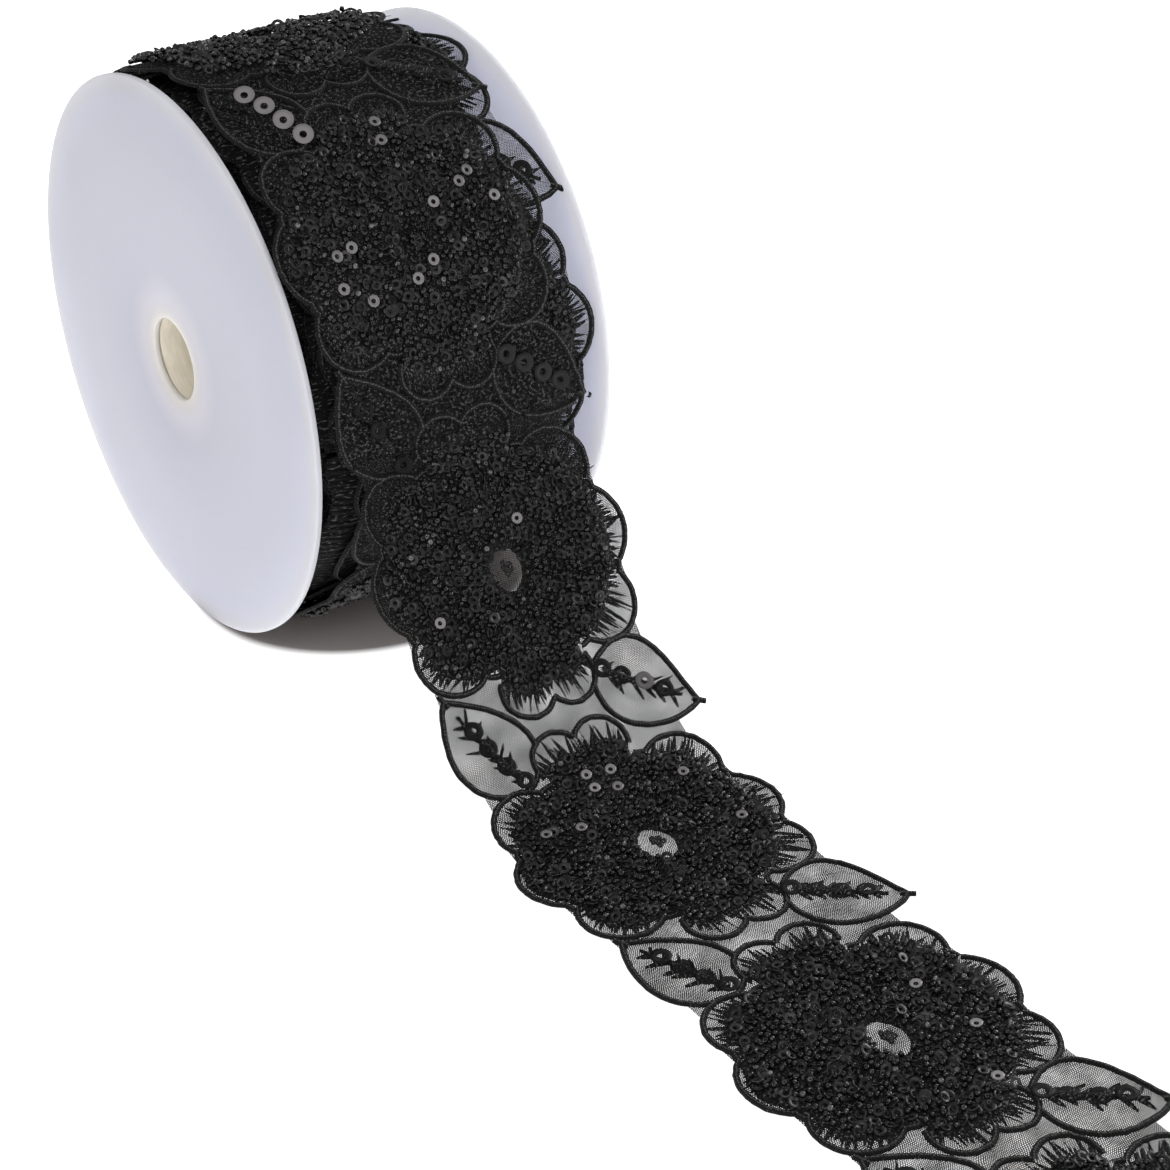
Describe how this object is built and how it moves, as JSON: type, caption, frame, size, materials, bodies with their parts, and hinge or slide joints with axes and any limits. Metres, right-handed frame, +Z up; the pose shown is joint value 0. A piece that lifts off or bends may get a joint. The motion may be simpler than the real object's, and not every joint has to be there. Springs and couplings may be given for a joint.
{
  "type": "spool of beaded sequin trim",
  "caption": "Plain white two-disc spool wound with black beaded and sequined flower trim on net, its loose end falling to the floor and lying flat.",
  "frame": {"origin": "middle of the footprint on the floor, under the whole part", "axes": "+Z up, +X along the spool's axis towards the right disc, -Y the way the loose end runs off the roll"},
  "size_m": [0.0784, 0.405, 0.1371],
  "materials": {
    "spool_plastic": "satin, faintly translucent white",
    "core_board": "matte paperboard",
    "trim": "black net with corded embroidery"
  },
  "bodies": {
    "root": {"flange_left": "spool_plastic", "flange_right": "spool_plastic", "core_tube": "core_board", "wound_trim": "trim", "loose_trim": "trim"}
  },
  "joints": []
}
